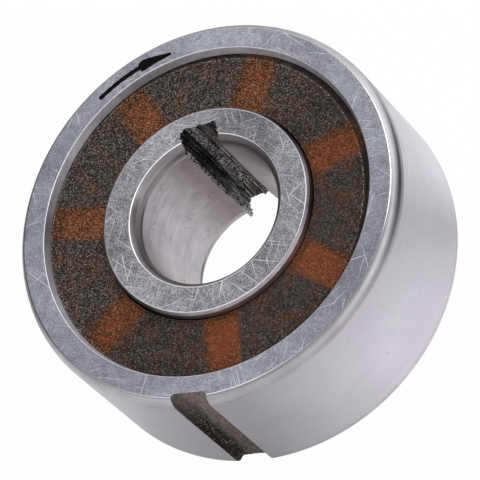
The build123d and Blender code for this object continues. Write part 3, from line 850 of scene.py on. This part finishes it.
def keyway_bar(name, material, angle, floor, mouth, rim, furrow, depth, ragged):
    """Closed bar with a rough skin, standing along the axis at this angle."""
    path = keyway_path(floor, mouth)
    turn = Matrix.Rotation(math.radians(angle), 4, "Z")
    stations = round((WIDTH + 2 * OVERRUN) / STATION)
    vertices = []
    for station in range(stations + 1):
        height = -OVERRUN + station * STATION
        end = min(abs(height), abs(WIDTH - height)) / END_REACH
        by_face = max(0.0, 1 - end) if 0 <= height <= WIDTH else 1.0
        for number, ((radial, across), (n_radial, n_across)) in enumerate(path):
            along = number * SAMPLE
            ridge = noise.noise((along / furrow, height * DRIFT, angle))
            fine = noise.noise((along / FINE[0], height / FINE[1], angle + 9))
            tear = abs(noise.noise((along / TEAR[0], height / TEAR[1], angle + 30)))
            groove = max(0.0, 1 - 4 * abs(ridge))
            torn = ragged * max(by_face, 1 - abs(radial - rim) / RIM_REACH)
            push = depth * (groove + 0.35 * fine) + torn * tear
            point = Vector((radial + n_radial * push, across + n_across * push, height))
            vertices.append(turn @ point)
    count = len(path)
    faces = [tuple(range(count)), tuple(range(len(vertices) - 1, len(vertices) - 1 - count, -1))]
    for station in range(stations):
        for i in range(count):
            a, b = station * count + i, station * count + (i + 1) % count
            faces.append((a, a + count, b + count, b))
    return solid(name, vertices, faces, material)


def cut(piece, *cutters):
    """Cuts the cutters out of the piece for good, with their finishes, and removes them."""
    for cutter in cutters:
        modifier = piece.modifiers.new(cutter.name, "BOOLEAN")
        modifier.object = cutter
        modifier.solver = "MANIFOLD"
        modifier.material_mode = "TRANSFER"
    bpy.context.view_layer.update()
    graph = bpy.context.evaluated_depsgraph_get()
    made = bpy.data.meshes.new_from_object(piece.evaluated_get(graph))
    piece.modifiers.clear()
    piece.data = made
    for cutter in cutters:
        bpy.data.objects.remove(cutter)


def outward_faces(mesh):
    """Turns every face to look out of the solid."""
    tool = bmesh.new()
    tool.from_mesh(mesh)
    bmesh.ops.recalc_face_normals(tool, faces=tool.faces)
    tool.to_mesh(mesh)
    tool.free()


def settle(piece, crisp=28):
    """Brings a piece drawn in millimetres to the frame's metres, and shades it smooth.

    Edges that bend more than crisp degrees stay sharp."""
    piece.data.transform(Matrix.Scale(MM, 4))
    piece.data.shade_smooth()
    piece.data.set_sharp_from_angle(angle=math.radians(crisp))


bore_bar = keyway_bar(
    "bore_bar", broached_steel, BORE_KEYWAY, floor=5.0, mouth=3.4, rim=BORE_RADIUS,
    furrow=0.21, depth=0.12, ragged=0.11)
outer_bar = keyway_bar(
    "outer_bar", milled_steel, OUTER_KEYWAY, floor=10.4, mouth=11.4, rim=OUTER_RADIUS,
    furrow=0.30, depth=0.020, ragged=0.05)
print("bars:", len(bore_bar.data.polygons), "and", len(outer_bar.data.polygons), "faces")

# %% [markdown]
# ## The arrow
# An arrow on the front face shows which way the inner ring is held. It is etched: a slender
# head on an arc-shaped shaft, a few hundredths of a millimetre deep, with a black floor. It
# is cut like the keyways, with a thin cutter in the arrow's shape. Its outline is written as
# angles round the ring, and millimetres out from the middle line.

# %% Arrow cutter
ARROW_RADIUS = 10.03
ARROW_TAIL, ARROW_NECK, ARROW_TIP = 132.8, 117.6, 106.3
ARROW_DEPTH, ARROW_STANDS = 0.02, 0.1       # into the face, and out of it
SHAFT_HALF, SHAFT_WAVE, SHAFT_STEPS = 0.135, 0.012, 16


def arrow_cutter():
    """Thin plate in the shape of the arrow, standing through the front face."""
    tail = [(ARROW_TAIL + 0.6, 0.0), (ARROW_TAIL + 0.48, 0.07), (ARROW_TAIL + 0.22, 0.12)]
    shaft = []
    for i in range(SHAFT_STEPS + 1):
        angle = ARROW_TAIL + (ARROW_NECK - ARROW_TAIL) * i / SHAFT_STEPS
        shaft.append((angle, SHAFT_HALF + SHAFT_WAVE * math.sin(2.1 * i)))
    head = [
        (ARROW_NECK, 0.16), (117.1, 0.26), (115.9, 0.34), (113.8, 0.27), (111.0, 0.14),
        (108.2, 0.03), (106.6, -0.03), (ARROW_TIP, -0.12),
    ]
    heel = [
        (117.3, -0.31), (116.2, -0.33), (114.0, -0.29), (111.0, -0.25), (108.2, -0.22),
        (106.6, -0.19),
    ]
    outer_side = tail[1:] + shaft + head
    inner_side = tail[:1] + [(angle, -half) for angle, half in tail[1:] + shaft] + heel
    outline = outer_side + inner_side[::-1]
    vertices = []
    for height in (WIDTH - ARROW_DEPTH, WIDTH + ARROW_STANDS):
        for angle, half in outline:
            a, r = math.radians(angle), ARROW_RADIUS + half
            vertices.append((r * math.cos(a), r * math.sin(a), height))
    count = len(outline)
    faces = [tuple(range(count)), tuple(range(2 * count - 1, count - 1, -1))]
    faces += [(i, i + count, (i + 1) % count + count, (i + 1) % count) for i in range(count)]
    return solid("arrow_cutter", vertices, faces, arrow_black)


# %% Cut and shade both rings
arrow = arrow_cutter()
for piece in (outer_ring, inner_ring, bore_bar, outer_bar, arrow):
    outward_faces(piece.data)
cut(outer_ring, outer_bar, arrow)
cut(inner_ring, bore_bar)
for ring in (outer_ring, inner_ring):
    settle(ring)
    print(ring.name, len(ring.data.polygons), "faces,", [m.name for m in ring.data.materials])

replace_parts(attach(outer_ring, "outer_race"), "outer_ring")
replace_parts(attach(inner_ring, "inner_race"), "inner_ring")

# %% [markdown]
# ## The burr
# Where the broach left the bore it tore up a little silvery burr at the rear end of one wall.
# It is a heap of small bent flakes that hangs on that edge. Random numbers place them, from
# a fixed seed, so the heap is the same on every run.

# %% Burr
SEED = 20
FLAKES = 80
CRUMPLE, DENT = 0.05, 0.02      # spacing and depth of the dents in a flake

toss = random.Random(SEED)
noise.seed_set(SEED)    # noise vectors start from the clock without this
burr_tool = bmesh.new()
turn = Matrix.Rotation(math.radians(BORE_KEYWAY), 4, "Z")
for flake in range(FLAKES):
    spot = (toss.uniform(3.86, 4.26), toss.uniform(0.90, 1.10), 0.08 + 1.2 * toss.random() ** 1.4)
    size = Vector((toss.uniform(0.02, 0.08), toss.uniform(0.02, 0.05), toss.uniform(0.03, 0.10)))
    spin = Matrix.Rotation(toss.uniform(0, 3), 4, (toss.random(), toss.random(), toss.random()))
    placing = turn @ Matrix.Translation(Vector(spot) * MM) @ spin
    placing = placing @ Matrix.Diagonal((*(size * MM), 1))
    made = bmesh.ops.create_icosphere(burr_tool, subdivisions=2, radius=1, matrix=placing)
    for vertex in made["verts"]:
        vertex.co += noise.noise_vector(vertex.co / (CRUMPLE * MM)) * DENT * MM
burr_mesh = bpy.data.meshes.new("broach_burr")
burr_tool.to_mesh(burr_mesh)
burr_tool.free()
burr_mesh.materials.append(torn_steel)
burr = placed("broach_burr", burr_mesh)
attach(burr, "inner_race")
print("burr:", len(burr_mesh.polygons), "faces")

# %% [markdown]
# ## The shield discs
# A shield is a flat disc with cut edges. It reaches from just inside the lip to just outside
# the inner ring. Its two sides carry the gritty film, and the cut edge by the inner ring
# shows a coppery line.

# %% Shields
SHIELD_BORE, SHIELD_RIM = 6.10, 9.35
SHIELD_BREAK = 0.02
SHIELD_COLUMNS = 360

for node in ("front_shield", "rear_shield"):
    low, high = (corner.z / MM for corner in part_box(node))
    disc = lathe(node + "_film", [
        (SHIELD_BORE, low, SHIELD_BREAK, shield_film),
        (SHIELD_RIM, low, SHIELD_BREAK, shield_edge),
        (SHIELD_RIM, high, SHIELD_BREAK, shield_film),
        (SHIELD_BORE, high, SHIELD_BREAK, shield_edge),
    ], SHIELD_COLUMNS)
    outward_faces(disc.data)
    settle(disc)
    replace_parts(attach(disc, "outer_race"), node)
    print(disc.name, "from", round(low, 3), "to", round(high, 3))

# %% [markdown]
# ## The pieces inside
# The cage, sprags, springs and balls keep the frame's own shapes, which are right, and take
# the finishes made above.

# %% Finishes for the pieces inside
inside = {
    "cage": cage_resin, "ball": ball_steel, "sprag_spring": spring_steel, "sprag": sprag_steel,
}
for name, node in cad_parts.items():
    kind = next((k for k in inside if name.startswith(k)), None)
    if kind:
        node.data.materials.clear()
        node.data.materials.append(inside[kind])
        print(name, "is", inside[kind].name)

# %% [markdown]
# ## Camera
# The clutch lies on its rear face. The camera looks down at it from the front right with a
# long lens, tilted so that the outer keyway comes to the lower left.

# %% Camera
camera_data = bpy.data.cameras.new("camera")
camera_data.lens = 342.06
camera_data.sensor_width = 36.0
camera_data.clip_start = 0.01
camera_data.clip_end = 10.0
camera = placed("camera", camera_data)
camera_place = Vector((99.45955, -96.11718, 205.77682))
camera_right = Vector((0.90790749, 0.07590627, -0.4122405))
camera_up = Vector((0.09992889, 0.91591683, 0.38872944))
camera_back = camera_right.cross(camera_up)
turned = Matrix((camera_right, camera_up, camera_back)).transposed().to_4x4()
camera.matrix_world = Matrix.Translation(camera_place * MM) @ turned
bpy.context.scene.camera = camera
print("camera stands", round(camera.location.length, 3), "m away")

# %% [markdown]
# ## The studio
# A metal shows its surroundings, so the studio matters as much as the finish. Its world
# has three faces, told apart by the kind of ray that asks. The camera sees plain white. The
# light that falls on the clutch comes from a pale even sky. A reflection sees a room: walls
# low down with lighter and darker stretches, and a ceiling that grows lighter to the top.
# The tones are tables by compass angle and by height, as in the films above.

# %% World
WORLD_LIGHT, WALL_LIGHT = 0.58, 1.6
WALL_TOP = (0.30, 0.42)     # sine of the angle above the horizon, where the walls end
CEILING_TONES = {0.0: "969699", 0.55: "98989B", 0.64: "AEAEB2", 0.82: "C6C6CA", 0.92: "FFFFFF"}
WALL_TONES = {
    -180: "747476", -160: "939396", -140: "A8A8AA", -120: "A4A4A6", -100: "8E8E90", -80: "9C9C9E",
    -60: "9E9EA0", -40: "A8A8AA", -20: "C5C5C8", 0: "C0C0C4", 20: "B4B4B8", 40: "CBCBCF",
    60: "D8D8DC", 80: "CACACE", 105: "989A9C", 140: "6C6C70", 180: "747476",
}


def seen_plain(tree):
    """The kinds of ray in a studio material, and 1 for those that should see plain white."""
    rays = add(tree, "LightPath").outputs
    return rays, add(tree, "Math MAXIMUM", rays["Is Camera Ray"], rays["Is Transmission Ray"])


world = bpy.data.worlds.new("white_studio")
bpy.context.scene.world = world
world.use_nodes = True
tree = world.node_tree
tree.nodes.clear()
rays, shows = seen_plain(tree)
compass = add(tree, "TexCoord").outputs["Generated"]
height = add(tree, "SeparateXYZ", compass).outputs["Z"]
ceiling = add(tree, "Background", add(tree, "ValToRGB", height, stops=CEILING_TONES))
walls = add(tree, "Background", by_angle(tree, compass, WALL_TONES), WALL_LIGHT)
room = add(tree, "MixShader", add(tree, "MapRange", height, *WALL_TOP), walls, ceiling)
sky = add(tree, "Background", colour("FFFFFF"), WORLD_LIGHT)
sky = add(tree, "MixShader", rays["Is Glossy Ray"], sky, room)
white = add(tree, "Background", colour("FFFFFF"))
add(tree, "OutputWorld", add(tree, "MixShader", shows, sky, white))
print("world light:", WORLD_LIGHT)

# %% [markdown]
# ## Soft boxes
# Two lamps give the even light a gentle direction. The side box stands on the right as the
# camera looks, and the weaker back box behind the clutch. Both are large for so small a
# thing, which keeps every shadow soft.

# %% Soft boxes
def softbox(name, place, size, power):
    """Square area lamp that looks at the middle of the clutch."""
    lamp = bpy.data.lights.new(name, "AREA")
    lamp.size = size
    lamp.energy = power
    box = placed(name, lamp)
    aim = Vector((0, 0, MIDDLE * MM)) - Vector(place)
    turned = aim.to_track_quat("-Z", "Y").to_matrix().to_4x4()
    box.matrix_world = Matrix.Translation(place) @ turned


softbox("side_box", (0.095, 0.121, 0.205), 0.18, 0.28)
softbox("back_box", (-0.14, 0.14, 0.26), 0.10, 0.03)

# %% [markdown]
# ## Floor
# The floor is a plain pale sheet. To the camera it is nearly all its own white, with a small
# share of lit white that keeps a soft shadow under the clutch. Reflections see more in it: a
# glow that comes up through the bore, grey cards laid round the foot, and beyond them the
# tones of a room's floor. So it has three tables by angle, one for each distance.

# %% Floor
FLOOR = 3.0             # metres from the middle to the side
OWN_WHITE = 0.975       # share of its own white that the camera sees
OWN_IN_METAL = 0.18     # and that a reflection sees, far out,
OWN_AT_FOOT = 0.43      # close to the foot,
OWN_IN_BORE = 0.75      # and inside the bore
PAPER_GREY = 0.18       # how much darker the sheet is than white
CARD_TONES = {          # grey cards round the foot
    -180: "FFFFFF", -140: "FFFFFF", -123: "CECECE", -110: "BEBEBE", -88: "B4B4B4", -63: "E0E0E0",
    -39: "FFFFFF", -15: "F6F6F6", 9: "D4D4D4", 27: "FFFFFF", 50: "FFFFFF", 62: "CCCCCC",
    80: "CCCCCC", 100: "FFFFFF", 180: "FFFFFF",
}
MIDDLE_TONES = {        # the sheet from 18 to 45 millimetres out
    -180: "AEAEAE", -160: "E6E6E6", -140: "EBEBEB", -120: "D3D3D3", -80: "CFCFCF", -40: "D0D0D0",
    -20: "C4C4C4", 0: "989898", 20: "707070", 40: "A4A4A4", 60: "F3F3F3", 80: "E4E4E4",
    105: "ACACAC", 140: "949494", 180: "AEAEAE",
}
FAR_TONES = {           # and the rest of the room's floor
    -180: "8C8C8C", -160: "D6D6D6", -140: "E7E7E7", -120: "E0E0E0", -100: "DADADA", -80: "DDDDDD",
    -60: "E3E3E3", -40: "EDEDED", -20: "EDEDED", 0: "CCCCCC", 20: "9C9C9C", 40: "E7E7E7",
    60: "FFFFFF", 80: "FFFFFF", 105: "B4B4B4", 140: "909090", 180: "8C8C8C",
}
floor_paint = bpy.data.materials.new("pale_paper_sheet")
floor_paint.use_nodes = True
tree = floor_paint.node_tree
tree.nodes.clear()
rays, shows = seen_plain(tree)
in_metal = rays["Is Glossy Ray"]
spot = add(tree, "TexCoord").outputs["Object"]
reach = add(tree, "VectorMath LENGTH", spot)
glow = add(tree, "MapRange", reach, 17.5 * MM, 15 * MM, OWN_IN_METAL, OWN_AT_FOOT)
up_bore = add(tree, "MapRange", reach, 6 * MM, 4 * MM, 0, OWN_IN_BORE)
glow = add(tree, "Math MAXIMUM", glow, up_bore)
glow = add(tree, "Math MULTIPLY", in_metal, glow)
glow = add(tree, "Math ADD", add(tree, "Math MULTIPLY", shows, OWN_WHITE), glow)
tones = colour("FFFFFF")
for table, begins, full in ((CARD_TONES, 10, 11), (MIDDLE_TONES, 16.5, 19), (FAR_TONES, 35, 60)):
    share = add(tree, "MapRange", reach, begins * MM, full * MM)
    tones = add(tree, "Mix RGBA", share, tones, by_angle(tree, spot, table))
own_tone = add(tree, "Mix RGBA", in_metal, colour("FFFFFF"), tones)
paper = add(tree, "BsdfDiffuse", add(tree, "Mix RGBA", PAPER_GREY, own_tone, colour("000000")))
own = add(tree, "Emission", own_tone, 1.0)
add(tree, "OutputMaterial", add(tree, "MixShader", glow, paper, own))

corners = [(-FLOOR, -FLOOR, 0), (FLOOR, -FLOOR, 0), (FLOOR, FLOOR, 0), (-FLOOR, FLOOR, 0)]
floor = solid("floor", corners, [(0, 1, 2, 3)], floor_paint)
floor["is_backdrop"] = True
bpy.context.scene.view_settings.view_transform = "Standard"
print("floor is", 2 * FLOOR, "m wide")

# %% [markdown]
# ## The dressed clutch's box
# The dressed clutch has to fill the same box as its solids. Its own box is printed.

# %% Sizes and finish
low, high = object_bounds()
print("dressed clutch reaches from", tuple(low), "to", tuple(high))
